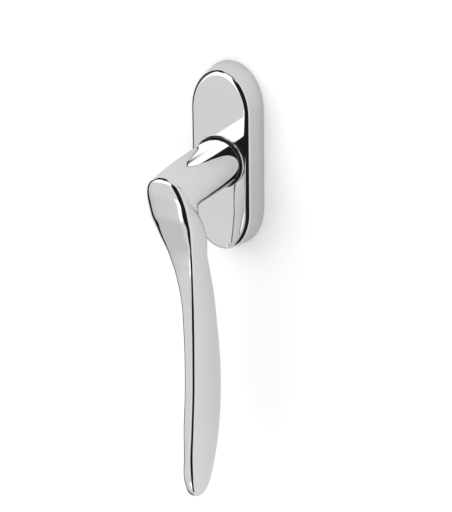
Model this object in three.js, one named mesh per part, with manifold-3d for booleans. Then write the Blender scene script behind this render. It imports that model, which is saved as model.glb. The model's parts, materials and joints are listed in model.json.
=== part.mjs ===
import * as THREE from "three";
import { mergeVertices } from "three/addons/utils/BufferGeometryUtils.js";
import Module from "manifold-3d";

// Tilt-and-turn window handle. Units mm, +Z up, -Y toward the room, spindle along Y.
// The origin is on the spindle axis, in the plane of the window sash.

const wasm = await Module();
wasm.setup();

// Rose: the oval cover and what is under it
const ROSE_HALF_WIDTH = 14;
const ROSE_STRAIGHT = 20.3;
const ROSE_END_RATIO = 1.31;
const ROSE_DEPTH = 10.6;
const ROSE_TAPER = 1.0;
const ROSE_EDGE = 1.5;
const ROSE_ROLL = 2.3;
const ROSE_EDGE_STEPS = 5;
const ROSE_OUTLINE_STEPS = 24;
const ROSE_REST_GAP = 0.02;
const COVER_CORNER = 0.4;
const COVER_WALL = 1.1;
const NECK_HOLE_RADIUS = 10.15;
const COLLAR_RADIUS = 10.9;
const COLLAR_BEVEL = 0.55;
const COLLAR_LIP = 0.12;
const COLLAR_GAP = 0.03;
const COLLAR_HEIGHT = 1.2;

// Inner works, measured from the sash plane
const BACK_PLATE_THICK = 1.0;
const BACK_PLATE_INSET = 3.05;
const BACK_PLATE_HOLE_RADIUS = 5.6;
const BASE_INSET = 2.65;
const BASE_BACK = 1.04;
const BASE_FRONT = 8.3;
const CUT_THROUGH = 12;
const POCKET_FLOOR = 5.3;
const POCKET_RADIUS = 9.9;
const BUSH_BORE_RADIUS = 8.85;
const SCREW_SPACING = 43;
const PEG_RADIUS = 5;
const PEG_LENGTH = 9;
const PEG_CHAMFER = 0.7;
const PEG_ROOT = 1;
const PEG_CLEARANCE = 0.15;
const SCREW_RADIUS = 2.4;
const SCREW_HEAD_RADIUS = 4.7;
const SCREW_END = 38;
const SCREW_POINT_LENGTH = 1.4;
const SCREW_POINT_NARROWING = 0.8;
const SCREW_CONE_LENGTH = 3;
const SCREW_RIM = 0.45;
const SCREW_SUNK = 0.25;
const SCREW_CLEARANCE = 0.25;
const SCREW_HEAD_CLEARANCE = 0.35;
const SINK_DEPTH = 3.2;
const SINK_RIM = 0.5;
const RECESS_REACH = 2.4;
const RECESS_HALF_WIDTH = 0.5;
const RECESS_DEPTH = 1.8;
const RIVET_OFFSET = 31;
const RIVET_RADIUS = 1.05;
const RIVET_HOLE_RADIUS = 1.15;
const RIVET_BACK = 0.05;
const RIVET_FRONT = 3.3;
const RIVET_HOLE_DEPTH = 3.4;

// Turning parts
const NECK_RADIUS = 9.8;
const NECK_SHOULDER = 9.1;
const JOURNAL_RADIUS = 8;
const JOURNAL_BACK = 1.12;
const JOURNAL_CHAMFER = 0.2;
const JOURNAL_CHAMFER_END = 1.16;
const JOURNAL_ROOT = 0.6;
const RUNNING_GAP = 0.06;
const SEAT_GAP = 0.05;
const ROTOR_SEAT_RADIUS = 7;
const ROTOR_SEAT_FLAT = 6.2;
const ROTOR_RADIUS = 9.4;
const ROTOR_BACK = 2.1;
const ROTOR_FRONT = 4.6;
const RING_GROOVE_RADIUS = 5.9;
const RING_GROOVE_FRONT = 2;
const RING_RADIUS = 8.4;
const RING_BACK = 1.2;
const RING_FRONT = 1.95;
const RING_GAP_ANGLE = 0.35;
const ROTOR_SEAT_CLEARANCE = 0.1;
const ROTOR_FLAT_CLEARANCE = 0.08;
const ROTOR_CIRCLE_STEPS = 96;
const NOTCH_COUNT = 4;
const FLAT_CUT_HALF = 2;
const FLAT_CUT_FRONT = 4.64;
const NOTCH_CLEARANCE = 0.12;
const SPINDLE_SIDE = 7;
const SPINDLE_SOCKET_SIDE = 7.12;
const SPINDLE_FRONT = 16;
const SPINDLE_END = 40;
const SPINDLE_CHAMFER = 0.6;
const SPINDLE_TIP_LENGTH = 1;
const SPINDLE_TIP_NARROWING = 0.9;
const SPINDLE_SOCKET_CLEARANCE = 0.2;
const PIN_RADIUS = 1.25;
const PIN_DEPTH = 6.9;
const PIN_CLEARANCE = 0.05;
const PIN_END_GAP = 0.4;
const PIN_STEPS = 24;

// Click stop
const BALL_RADIUS = 1.9;
const BALL_DEPTH = 3.35;
const BALL_CENTRE = 11.36;
const BALL_TRAVEL = 0.8;
const CHANNEL_HALF = 2.1;
const CHANNEL_END = 16.2;
const CHANNEL_FLOOR = 5.45;
const CHANNEL_START = 6;
const SPRING_WIRE = 0.24;
const SPRING_RADIUS = 1.3;
const SPRING_TURNS = 3.5;
const SPRING_BALL_GAP = 0.06;
const SPRING_WALL_GAP = 0.05;
const SPRING_STEPS = 42;
const SPRING_WIRE_SIDES = 3;
const CLIP_HEIGHT = 12.5;
const CLIP_THICK = 0.4;
const CLIP_WIDTH = 1.9;
const CLIP_LINE = [[7.2, 5.5], [10.2, 5.5], [11.3, 6.3], [11.5, 7.1], [11.1, 8.2]];
const CLIP_SLOT_HALF = 1.2;
const CLIP_SLOT_CENTRE = 10;
const CLIP_SLOT_REACH = 3;
const CLIP_SLOT_DEPTH = 3.2;
const WAVE_INNER = 8.2;
const WAVE_OUTER = 9.3;
const WAVE_HALF_THICK = 0.15;
const WAVE_HEIGHT = 0.12;
const WAVE_COUNT = 3;
const WASHER_CLEARANCE = 0.08;
const BALL_STEPS_AROUND = 20;
const BALL_STEPS_UP = 12;
const COARSE = 24;
const MEDIUM = 32;

const FINE = 48;

// Lever stations from the rose to the tip.
// outer = [projection, height] on the room side, inner = the same on the sash side,
// wide = greatest half width, face = half width of the front face, crown = bulge of that face,
// belly = where the section is widest, full = 1 for a round section down to 0 for flat sides.
const STATIONS = [
  { outer: [9.1, 9.8], inner: [9.1, -9.8], wide: 9.8, face: 2, crown: 0.21, belly: 0.5, full: 1 },
  { outer: [20.5, 9.8], inner: [20.5, -9.8], wide: 9.8, face: 2, crown: 0.21, belly: 0.5, full: 1 },
  { outer: [29.5, 9.8], inner: [27.5, -9.8], wide: 9.75, face: 2, crown: 0.21, belly: 0.5, full: 1 },
  { outer: [38.5, 9.6], inner: [33, -9.8], wide: 9.55, face: 2, crown: 0.21, belly: 0.5, full: 1 },
  { outer: [46, 9.2], inner: [35.8, -9.9], wide: 9.2, face: 2, crown: 0.22, belly: 0.5, full: 1 },
  { outer: [51.6, 8.9], inner: [36.9, -10.4], wide: 8.9, face: 2.1, crown: 0.26, belly: 0.51, full: 0.95 },
  { outer: [54.4, 8.6], inner: [37.2, -11.2], wide: 8.7, face: 2.6, crown: 0.35, belly: 0.52, full: 0.9 },
  { outer: [55.4, 7.9], inner: [37.1, -12.2], wide: 8.6, face: 3.9, crown: 0.45, belly: 0.53, full: 0.85 },
  { outer: [55.8, 6.6], inner: [36.8, -13.4], wide: 8.5, face: 5.8, crown: 0.5, belly: 0.54, full: 0.8 },
  { outer: [55.7, 4], inner: [36.2, -15], wide: 8.45, face: 7.2, crown: 0.55, belly: 0.55, full: 0.75 },
  { outer: [54.9, 0.4], inner: [35.5, -17], wide: 8.4, face: 7.8, crown: 0.6, belly: 0.56, full: 0.7 },
  { outer: [53.5, -4], inner: [34.5, -19.6], wide: 8.3, face: 7.85, crown: 0.6, belly: 0.58, full: 0.62 },
  { outer: [51.6, -10], inner: [33.1, -23.2], wide: 7.9, face: 7.59, crown: 0.6, belly: 0.6, full: 0.55 },
  { outer: [49.3, -15], inner: [31.9, -26.2], wide: 7.4, face: 6.9, crown: 0.6, belly: 0.62, full: 0.48 },
  { outer: [46.9, -20.4], inner: [30.5, -29.4], wide: 6.8, face: 6.03, crown: 0.6, belly: 0.62, full: 0.42 },
  { outer: [44.3, -26.2], inner: [28.8, -33.2], wide: 6.3, face: 4.96, crown: 0.55, belly: 0.62, full: 0.38 },
  { outer: [42.4, -31.9], inner: [27, -37.2], wide: 5.8, face: 4.15, crown: 0.35, belly: 0.62, full: 0.35 },
  { outer: [40.8, -37.8], inner: [25, -41.8], wide: 5.4, face: 3.4, crown: 0.35, belly: 0.62, full: 0.35 },
  { outer: [38.7, -50], inner: [21.6, -52], wide: 4.9, face: 2.44, crown: 0.35, belly: 0.62, full: 0.35 },
  { outer: [38.1, -63], inner: [19.2, -64], wide: 4.6, face: 2.16, crown: 0.35, belly: 0.62, full: 0.35 },
  { outer: [38, -76.5], inner: [17, -77], wide: 4.5, face: 1.99, crown: 0.35, belly: 0.62, full: 0.35 },
  { outer: [38.5, -91], inner: [16.1, -91], wide: 4.5, face: 1.98, crown: 0.35, belly: 0.62, full: 0.35 },
  { outer: [39.8, -104.5], inner: [16.8, -104], wide: 4.4, face: 2.02, crown: 0.35, belly: 0.62, full: 0.35 },
  { outer: [40.6, -117], inner: [18.7, -115.6], wide: 4.2, face: 1.83, crown: 0.35, belly: 0.6, full: 0.35 },
  { outer: [40.8, -126], inner: [21.5, -124.6], wide: 3.9, face: 2.05, crown: 0.35, belly: 0.58, full: 0.38 },
  { outer: [39.6, -131.8], inner: [24.2, -130.8], wide: 3.6, face: 1.75, crown: 0.33, belly: 0.55, full: 0.45 },
  { outer: [38.2, -135], inner: [26.8, -134.6], wide: 3.1, face: 1.5, crown: 0.4, belly: 0.53, full: 0.6 },
  { outer: [36.6, -136.6], inner: [29.8, -136.5], wide: 2.3, face: 1.1, crown: 0.3, belly: 0.5, full: 0.8 },
  { outer: [35.2, -137.2], inner: [32.2, -137.2], wide: 1.2, face: 0.6, crown: 0.18, belly: 0.5, full: 1 },
];
const FACE_STEPS = 3;
const SIDE_STEPS = 5;
const BACK_STEPS = 6;
const STATION_STEPS = 2;
const BACK_SQUARENESS = 0.6;

const CHROME = { color: 0xe4e6e8, roughness: 0.08, metalness: 1 };
const CAST_ZINC = { color: 0x9a9c9e, roughness: 0.5, metalness: 0.85 };
const ZINC_STEEL = { color: 0xb9bcc0, roughness: 0.32, metalness: 1 };
const HARD_STEEL = { color: 0x8b8e92, roughness: 0.28, metalness: 1 };
const SPRING_STEEL = { color: 0x6d7074, roughness: 0.35, metalness: 1 };
const DARK_PLASTIC = { color: 0x222325, roughness: 0.5, metalness: 0 };

const part = new THREE.Group();
part.name = "window_handle";

function addPiece(name, geometry, finish) {
  const mesh = new THREE.Mesh(geometry, new THREE.MeshStandardMaterial(finish));
  mesh.name = name;
  part.add(mesh);
}

// Turns every face outward, judged by the sign of the enclosed volume.
function facesOut(geometry) {
  const index = geometry.index;
  const [a, b, c] = [new THREE.Vector3(), new THREE.Vector3(), new THREE.Vector3()];
  let volume = 0;
  for (let i = 0; i < index.count; i += 3) {
    a.fromBufferAttribute(geometry.attributes.position, index.getX(i));
    b.fromBufferAttribute(geometry.attributes.position, index.getX(i + 1));
    c.fromBufferAttribute(geometry.attributes.position, index.getX(i + 2));
    volume += a.dot(b.cross(c));
  }
  if (volume < 0) {
    for (let i = 0; i < index.count; i += 3) {
      const first = index.getX(i);
      index.setX(i, index.getX(i + 1));
      index.setX(i + 1, first);
    }
  }
  geometry.computeVertexNormals();
  return geometry;
}

// Keeps only positions, welds equal points and drops collapsed triangles.
function bare(geometry) {
  const copy = geometry.clone();
  for (const key of Object.keys(copy.attributes)) {
    if (key !== "position") {
      copy.deleteAttribute(key);
    }
  }
  const merged = mergeVertices(copy, 1e-5);
  const kept = [];
  for (let i = 0; i < merged.index.count; i += 3) {
    const face = [0, 1, 2].map((k) => merged.index.getX(i + k));
    if (new Set(face).size === 3) {
      kept.push(...face);
    }
  }
  merged.setIndex(kept);
  return facesOut(merged);
}

function toSolid(geometry) {
  const clean = bare(geometry);
  const mesh = new wasm.Mesh({
    numProp: 3,
    vertProperties: new Float32Array(clean.attributes.position.array),
    triVerts: new Uint32Array(clean.index.array),
  });
  mesh.merge();
  return new wasm.Manifold(mesh);
}

function fromSolid(solid) {
  const mesh = solid.getMesh();
  const geometry = new THREE.BufferGeometry();
  geometry.setAttribute("position", new THREE.BufferAttribute(new Float32Array(mesh.vertProperties), 3));
  geometry.setIndex(new THREE.BufferAttribute(new Uint32Array(mesh.triVerts), 1));
  geometry.computeVertexNormals();
  return geometry;
}

function cut(body, tools) {
  let solid = toSolid(body);
  for (const tool of tools) {
    solid = solid.subtract(toSolid(tool));
  }
  return fromSolid(solid);
}

function join(bodies) {
  let solid = toSolid(bodies[0]);
  for (const body of bodies.slice(1)) {
    solid = solid.add(toSolid(body));
  }
  return fromSolid(solid);
}

// Profile points are [radius, depth]; depth runs toward the room.
function turned(profile, segments = FINE) {
  const points = profile.map(([radius, depth]) => new THREE.Vector2(radius, depth));
  const geometry = new THREE.LatheGeometry(points, segments);
  geometry.rotateX(Math.PI);
  return bare(geometry);
}

function tube(inner, outer, back, front, segments = FINE) {
  return turned([[inner, back], [outer, back], [outer, front], [inner, front], [inner, back]], segments);
}

function rod(radius, back, front, segments = FINE) {
  return turned([[0, back], [radius, back], [radius, front], [0, front]], segments);
}

// A flat shape drawn in X and Z, given thickness from back to front.
function slab(shape, back, front, curveSegments = 24) {
  const geometry = new THREE.ExtrudeGeometry(shape, {
    depth: front - back,
    bevelEnabled: false,
    curveSegments,
  });
  geometry.rotateX(Math.PI / 2);
  geometry.translate(0, -back, 0);
  return bare(geometry);
}

function box(halfX, back, front, low, high, centreX = 0) {
  const geometry = new THREE.BoxGeometry(2 * halfX, front - back, high - low);
  geometry.translate(centreX, -(back + front) / 2, (low + high) / 2);
  return bare(geometry);
}

function moved(geometry, x, depth, z) {
  const copy = geometry.clone();
  copy.translate(x, -depth, z);
  return copy;
}

// Rings of equal point count, joined into one skin. Closed rings run into a loop when
// loop is true, otherwise both ends are capped.
function skin(rings, loop) {
  const count = rings[0].length;
  const positions = [];
  const indices = [];
  for (const ring of rings) {
    for (const point of ring) {
      positions.push(...point);
    }
  }
  const last = loop ? rings.length : rings.length - 1;
  for (let i = 0; i < last; i += 1) {
    const here = i * count;
    const next = ((i + 1) % rings.length) * count;
    for (let j = 0; j < count; j += 1) {
      const k = (j + 1) % count;
      indices.push(here + j, here + k, next + k);
      indices.push(here + j, next + k, next + j);
    }
  }
  if (!loop) {
    for (const end of [0, rings.length - 1]) {
      const centre = positions.length / 3;
      const middle = [0, 0, 0];
      for (const point of rings[end]) {
        for (let axis = 0; axis < 3; axis += 1) {
          middle[axis] += point[axis] / count;
        }
      }
      positions.push(...middle);
      for (let j = 0; j < count; j += 1) {
        const a = end * count + j;
        const b = end * count + ((j + 1) % count);
        if (end === 0) {
          indices.push(centre, b, a);
        } else {
          indices.push(centre, a, b);
        }
      }
    }
  }
  const geometry = new THREE.BufferGeometry();
  geometry.setAttribute("position", new THREE.Float32BufferAttribute(positions, 3));
  geometry.setIndex(indices);
  return facesOut(geometry);
}

function ovalShape(inset) {
  const shape = new THREE.Shape();
  ovalPoints(inset, 24).forEach(([x, z], i) => {
    if (i === 0) {
      shape.moveTo(x, z);
    } else {
      shape.lineTo(x, z);
    }
  });
  shape.closePath();
  return shape;
}

// Oval outline: straight sides and slightly long elliptical ends.
function ovalPoints(inset, steps) {
  const halfWidth = ROSE_HALF_WIDTH - inset;
  const reach = ROSE_HALF_WIDTH * ROSE_END_RATIO - inset;
  const points = [];
  for (const side of [1, -1]) {
    for (let i = 0; i <= steps; i += 1) {
      const angle = (Math.PI * i) / steps;
      const x = side * halfWidth * Math.cos(angle);
      points.push([x, side * (ROSE_STRAIGHT + reach * Math.sin(angle))]);
    }
  }
  return points;
}

// A circle with its points matched to those of the oval.
function matchedCircle(radius, steps) {
  const points = [];
  const half = Math.PI / (2 * (steps + 1));
  for (const side of [1, -1]) {
    for (let i = 0; i <= steps; i += 1) {
      const angle = half + ((Math.PI - 2 * half) * i) / steps;
      points.push([side * radius * Math.cos(angle), side * radius * Math.sin(angle)]);
    }
  }
  return points;
}

function circleHole(x, z, radius) {
  const hole = new THREE.Path();
  hole.absarc(x, z, radius, 0, 2 * Math.PI, true);
  return hole;
}

function roseCover() {
  const steps = ROSE_OUTLINE_STEPS;
  const at = (points, depth) => points.map(([x, z]) => [x, -depth, z]);
  const rings = [];
  rings.push(at(ovalPoints(0, steps), ROSE_REST_GAP));
  const wallTop = ROSE_DEPTH - ROSE_EDGE;
  rings.push(at(ovalPoints(ROSE_TAPER / 2, steps), wallTop / 2));
  for (let i = 0; i <= ROSE_EDGE_STEPS; i += 1) {
    const angle = (i / ROSE_EDGE_STEPS) * (Math.PI / 2);
    const inset = ROSE_TAPER + ROSE_ROLL * (1 - Math.cos(angle));
    rings.push(at(ovalPoints(inset, steps), wallTop + ROSE_EDGE * Math.sin(angle)));
  }
  rings.push(at(matchedCircle(NECK_HOLE_RADIUS, steps), ROSE_DEPTH));
  rings.push(at(matchedCircle(NECK_HOLE_RADIUS, steps), ROSE_DEPTH - COVER_WALL));
  rings.push(at(ovalPoints(ROSE_TAPER + COVER_WALL + COVER_CORNER, steps), ROSE_DEPTH - COVER_WALL));
  rings.push(at(ovalPoints(COVER_WALL, steps), ROSE_REST_GAP));
  return skin(rings, true);
}

function collarRing() {
  const back = ROSE_DEPTH + COLLAR_GAP;
  const front = ROSE_DEPTH + COLLAR_HEIGHT;
  return turned([
    [NECK_HOLE_RADIUS, back],
    [COLLAR_RADIUS, back],
    [COLLAR_RADIUS, front - COLLAR_BEVEL],
    [NECK_HOLE_RADIUS + COLLAR_LIP, front],
    [NECK_HOLE_RADIUS, front],
    [NECK_HOLE_RADIUS, back],
  ]);
}

function screwPlaces() {
  return [1, -1].map((side) => (side * SCREW_SPACING) / 2);
}

function basePlate() {
  const plate = slab(ovalShape(BASE_INSET), BASE_BACK, BASE_FRONT);
  const pegs = screwPlaces().map((z) => {
    const peg = turned([
      [0, -PEG_LENGTH],
      [PEG_RADIUS - PEG_CHAMFER, -PEG_LENGTH],
      [PEG_RADIUS, -PEG_LENGTH + PEG_CHAMFER],
      [PEG_RADIUS, BASE_BACK + PEG_ROOT],
      [0, BASE_BACK + PEG_ROOT],
    ], FINE);
    return moved(peg, 0, 0, z);
  });
  const tools = [
    rod(POCKET_RADIUS, 0, POCKET_FLOOR),
    rod(BUSH_BORE_RADIUS, 0, CUT_THROUGH),
  ];
  for (const z of screwPlaces()) {
    tools.push(moved(rod(SCREW_RADIUS + SCREW_CLEARANCE, -CUT_THROUGH, CUT_THROUGH, MEDIUM), 0, 0, z));
    const sink = turned([
      [0, BASE_FRONT - SINK_DEPTH],
      [SCREW_RADIUS + SCREW_CLEARANCE - SEAT_GAP, BASE_FRONT - SINK_DEPTH],
      [SCREW_HEAD_RADIUS + SCREW_HEAD_CLEARANCE, BASE_FRONT - SINK_RIM],
      [SCREW_HEAD_RADIUS + SCREW_HEAD_CLEARANCE, CUT_THROUGH],
      [0, CUT_THROUGH],
    ], MEDIUM);
    tools.push(moved(sink, 0, 0, z));
  }
  for (const side of [1, -1]) {
    const low = side > 0 ? CHANNEL_START : -CHANNEL_END;
    const high = side > 0 ? CHANNEL_END : -CHANNEL_START;
    tools.push(box(CHANNEL_HALF, 0, CHANNEL_FLOOR, low, high));
    tools.push(moved(rod(RIVET_HOLE_RADIUS, 0, RIVET_HOLE_DEPTH, COARSE), 0, 0, side * RIVET_OFFSET));
    const bottom = side * CLIP_HEIGHT - CLIP_SLOT_HALF;
    const top = side * CLIP_HEIGHT + CLIP_SLOT_HALF;
    for (const across of [1, -1]) {
      const centre = across * CLIP_SLOT_CENTRE;
      tools.push(box(CLIP_SLOT_REACH, BASE_FRONT - CLIP_SLOT_DEPTH, CUT_THROUGH, bottom, top, centre));
    }
  }
  return cut(join([plate, ...pegs]), tools);
}

function backPlate() {
  const shape = ovalShape(BACK_PLATE_INSET);
  shape.holes.push(circleHole(0, 0, BACK_PLATE_HOLE_RADIUS));
  for (const z of screwPlaces()) {
    shape.holes.push(circleHole(0, z, PEG_RADIUS + PEG_CLEARANCE));
  }
  for (const side of [1, -1]) {
    shape.holes.push(circleHole(0, side * RIVET_OFFSET, RIVET_HOLE_RADIUS));
  }
  return slab(shape, 0, BACK_PLATE_THICK);
}

function rivet(z) {
  const body = turned([
    [0, RIVET_BACK],
    [RIVET_RADIUS, RIVET_BACK],
    [RIVET_RADIUS, RIVET_FRONT],
    [0, RIVET_FRONT],
  ], COARSE);
  return moved(body, 0, 0, z);
}

// A leaf spring that sits in a slot of the base plate and presses on the cover's wall.
function coverClip(z, across) {
  const rings = CLIP_LINE.map(([x, depth], i) => {
    const before = CLIP_LINE[Math.max(0, i - 1)];
    const after = CLIP_LINE[Math.min(CLIP_LINE.length - 1, i + 1)];
    const length = Math.hypot(after[0] - before[0], after[1] - before[1]);
    const side = [(before[1] - after[1]) / length, (after[0] - before[0]) / length];
    const ring = [];
    for (const [w, t] of [[-0.5, -0.5], [0.5, -0.5], [0.5, 0.5], [-0.5, 0.5]]) {
      const lift = CLIP_THICK * t;
      ring.push([across * (x + side[0] * lift), -(depth + side[1] * lift), z + w * CLIP_WIDTH]);
    }
    return ring;
  });
  return skin(rings, false);
}

function neckBush() {
  return turned([
    [JOURNAL_RADIUS + RUNNING_GAP, POCKET_FLOOR + 2 * SEAT_GAP],
    [BUSH_BORE_RADIUS - SEAT_GAP, POCKET_FLOOR + 2 * SEAT_GAP],
    [BUSH_BORE_RADIUS - SEAT_GAP, BASE_FRONT - SEAT_GAP],
    [JOURNAL_RADIUS + RUNNING_GAP, BASE_FRONT - SEAT_GAP],
    [JOURNAL_RADIUS + RUNNING_GAP, POCKET_FLOOR + 2 * SEAT_GAP],
  ]);
}

function flattedCircle(radius, flat) {
  const shape = new THREE.Shape();
  for (let i = 0; i < ROTOR_CIRCLE_STEPS; i += 1) {
    const angle = (2 * Math.PI * i) / ROTOR_CIRCLE_STEPS;
    const x = Math.max(-flat, Math.min(flat, radius * Math.cos(angle)));
    const z = radius * Math.sin(angle);
    if (i === 0) {
      shape.moveTo(x, z);
    } else {
      shape.lineTo(x, z);
    }
  }
  shape.closePath();
  return shape;
}

function detentRotor() {
  const blank = rod(ROTOR_RADIUS, ROTOR_BACK, ROTOR_FRONT);
  const radius = ROTOR_SEAT_RADIUS + ROTOR_SEAT_CLEARANCE;
  const tools = [slab(flattedCircle(radius, ROTOR_SEAT_FLAT + ROTOR_FLAT_CLEARANCE), 0, CUT_THROUGH)];
  const notchCentre = BALL_CENTRE - BALL_TRAVEL;
  for (let i = 0; i < NOTCH_COUNT; i += 1) {
    const angle = (2 * Math.PI * i) / NOTCH_COUNT;
    const notch = rod(BALL_RADIUS + NOTCH_CLEARANCE, 0, CUT_THROUGH, MEDIUM);
    tools.push(moved(notch, notchCentre * Math.cos(angle), 0, notchCentre * Math.sin(angle)));
  }
  return cut(blank, tools);
}

function detentBall(side) {
  const ball = new THREE.SphereGeometry(BALL_RADIUS, BALL_STEPS_AROUND, BALL_STEPS_UP);
  ball.translate(0, -BALL_DEPTH, side * BALL_CENTRE);
  return bare(ball);
}

class Coil extends THREE.Curve {
  constructor(side, start, end) {
    super();
    this.side = side;
    this.start = start;
    this.end = end;
  }

  getPoint(t, target = new THREE.Vector3()) {
    const angle = 2 * Math.PI * SPRING_TURNS * t;
    const z = this.side * (this.start + (this.end - this.start) * t);
    return target.set(SPRING_RADIUS * Math.cos(angle), -BALL_DEPTH + SPRING_RADIUS * Math.sin(angle), z);
  }
}

function detentSpring(side) {
  const start = BALL_CENTRE + BALL_RADIUS + SPRING_WIRE + SPRING_BALL_GAP;
  const end = CHANNEL_END - SPRING_WIRE - SPRING_WALL_GAP;
  const section = new THREE.Shape();
  section.absarc(0, 0, SPRING_WIRE, 0, 2 * Math.PI, false);
  const geometry = new THREE.ExtrudeGeometry(section, {
    steps: SPRING_STEPS,
    curveSegments: SPRING_WIRE_SIDES,
    bevelEnabled: false,
    extrudePath: new Coil(side, start, end),
  });
  return bare(geometry);
}

function thrustWasher() {
  const inner = JOURNAL_RADIUS + WASHER_CLEARANCE;
  return tube(inner, NECK_RADIUS, BASE_FRONT + SEAT_GAP, NECK_SHOULDER - RUNNING_GAP);
}

function waveWasher() {
  const rings = [];
  const middle = (ROTOR_FRONT + POCKET_FLOOR) / 2;
  const corners = [[WAVE_INNER, -1], [WAVE_OUTER, -1], [WAVE_OUTER, 1], [WAVE_INNER, 1]];
  for (let i = 0; i < FINE; i += 1) {
    const angle = (2 * Math.PI * i) / FINE;
    const depth = middle + WAVE_HEIGHT * Math.cos(WAVE_COUNT * angle);
    const ring = [];
    for (const [radius, face] of corners) {
      ring.push([radius * Math.cos(angle), -(depth + face * WAVE_HALF_THICK), radius * Math.sin(angle)]);
    }
    rings.push(ring);
  }
  return skin(rings, true);
}

function retainingRing() {
  const shape = new THREE.Shape();
  const start = RING_GAP_ANGLE - Math.PI / 2;
  const end = 1.5 * Math.PI - RING_GAP_ANGLE;
  shape.absarc(0, 0, RING_RADIUS, start, end, false);
  shape.absarc(0, 0, RING_GROOVE_RADIUS + WASHER_CLEARANCE, end, start, true);
  shape.closePath();
  return slab(shape, RING_BACK, RING_FRONT, COARSE);
}

function mix(a, b, c, d, t) {
  const t2 = t * t;
  const t3 = t2 * t;
  return 0.5 * (2 * b + (c - a) * t + (2 * a - 5 * b + 4 * c - d) * t2 + (3 * b - a - 3 * c + d) * t3);
}

function stationAt(i, t) {
  const pick = (k) => STATIONS[Math.max(0, Math.min(STATIONS.length - 1, k))];
  const near = [pick(i - 1), pick(i), pick(i + 1), pick(i + 2)];
  const pair = (key) => [0, 1].map((n) => mix(...near.map((station) => station[key][n]), t));
  const result = { outer: pair("outer"), inner: pair("inner") };
  for (const key of ["wide", "face", "crown", "belly", "full"]) {
    result[key] = mix(...near.map((station) => station[key]), t);
  }
  return result;
}

// One closed section: a nearly flat front face, two sides and a rounded back.
function leverSection(station) {
  const { wide, face, crown, full } = station;
  const [outP, outZ] = station.outer;
  const [inP, inZ] = station.inner;
  const depth = Math.hypot(inP - outP, inZ - outZ);
  const along = [(inP - outP) / depth, (inZ - outZ) / depth];
  const widest = station.belly * depth;
  const power = 2 / (2 + BACK_SQUARENESS * (1 - full));
  const startAngle = Math.asin(face / wide);
  const half = [];
  for (let i = 1; i <= FACE_STEPS; i += 1) {
    const f = i / FACE_STEPS;
    half.push([face * f, crown * f * f]);
  }
  for (let i = 1; i <= SIDE_STEPS; i += 1) {
    const angle = startAngle + ((Math.PI / 2 - startAngle) * i) / SIDE_STEPS;
    const s = widest - ((widest - crown) * Math.cos(angle)) / Math.cos(startAngle);
    const t = (s - crown) / (widest - crown);
    const flat = face + (wide - face) * Math.sin((Math.PI / 2) * t);
    half.push([full * wide * Math.sin(angle) + (1 - full) * flat, s]);
  }
  for (let i = 1; i < BACK_STEPS; i += 1) {
    const angle = (Math.PI / 2) * (i / BACK_STEPS);
    const x = wide * Math.cos(angle) ** power;
    half.push([x, widest + (depth - widest) * Math.sin(angle) ** power]);
  }
  const mirrored = half.map(([x, s]) => [-x, s]).reverse();
  return [[0, 0], ...half, [0, depth], ...mirrored].map(([x, s]) => [
    x,
    -(outP + along[0] * s),
    outZ + along[1] * s,
  ]);
}

function leverHandle() {
  const rings = [];
  for (let i = 0; i < STATIONS.length - 1; i += 1) {
    for (let k = 0; k < STATION_STEPS; k += 1) {
      rings.push(leverSection(stationAt(i, k / STATION_STEPS)));
    }
  }
  rings.push(leverSection(STATIONS[STATIONS.length - 1]));
  const grip = skin(rings, false);
  const journal = turned([
    [0, JOURNAL_BACK],
    [ROTOR_SEAT_RADIUS - JOURNAL_CHAMFER, JOURNAL_BACK],
    [ROTOR_SEAT_RADIUS, JOURNAL_CHAMFER_END],
    [RING_GROOVE_RADIUS, JOURNAL_CHAMFER_END],
    [RING_GROOVE_RADIUS, RING_GROOVE_FRONT],
    [ROTOR_SEAT_RADIUS, RING_GROOVE_FRONT],
    [ROTOR_SEAT_RADIUS, ROTOR_FRONT + RUNNING_GAP],
    [JOURNAL_RADIUS, ROTOR_FRONT + RUNNING_GAP],
    [JOURNAL_RADIUS, NECK_SHOULDER + JOURNAL_ROOT],
    [0, NECK_SHOULDER + JOURNAL_ROOT],
  ]);
  const half = SPINDLE_SOCKET_SIDE / 2;
  const tools = [
    box(half, 0, SPINDLE_FRONT + SPINDLE_SOCKET_CLEARANCE, -half, half),
    box(FLAT_CUT_HALF, 0, FLAT_CUT_FRONT, -CUT_THROUGH, CUT_THROUGH, ROTOR_SEAT_FLAT + FLAT_CUT_HALF),
    box(FLAT_CUT_HALF, 0, FLAT_CUT_FRONT, -CUT_THROUGH, CUT_THROUGH, -ROTOR_SEAT_FLAT - FLAT_CUT_HALF),
    crossRod(PIN_RADIUS + PIN_CLEARANCE, CUT_THROUGH, PIN_DEPTH),
  ];
  return cut(join([grip, journal]), tools);
}

function crossRod(radius, halfLength, depth) {
  const geometry = new THREE.CylinderGeometry(radius, radius, 2 * halfLength, PIN_STEPS);
  geometry.rotateZ(Math.PI / 2);
  geometry.translate(0, -depth, 0);
  return bare(geometry);
}

function spindle() {
  const half = SPINDLE_SIDE / 2;
  const rings = [];
  const ends = [
    [SPINDLE_FRONT, half],
    [-SPINDLE_END + SPINDLE_TIP_LENGTH, half],
    [-SPINDLE_END, half - SPINDLE_TIP_NARROWING],
  ];
  for (const [depth, side] of ends) {
    const c = SPINDLE_CHAMFER;
    const corners = [
      [side, -side + c], [side, side - c], [side - c, side], [-side + c, side],
      [-side, side - c], [-side, -side + c], [-side + c, -side], [side - c, -side],
    ];
    rings.push(corners.map(([x, z]) => [x, -depth, z]));
  }
  const bar = skin(rings, false);
  return cut(bar, [crossRod(PIN_RADIUS + PIN_CLEARANCE, CUT_THROUGH, PIN_DEPTH)]);
}

function spindlePin() {
  return crossRod(PIN_RADIUS, JOURNAL_RADIUS - PIN_END_GAP, PIN_DEPTH);
}

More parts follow.
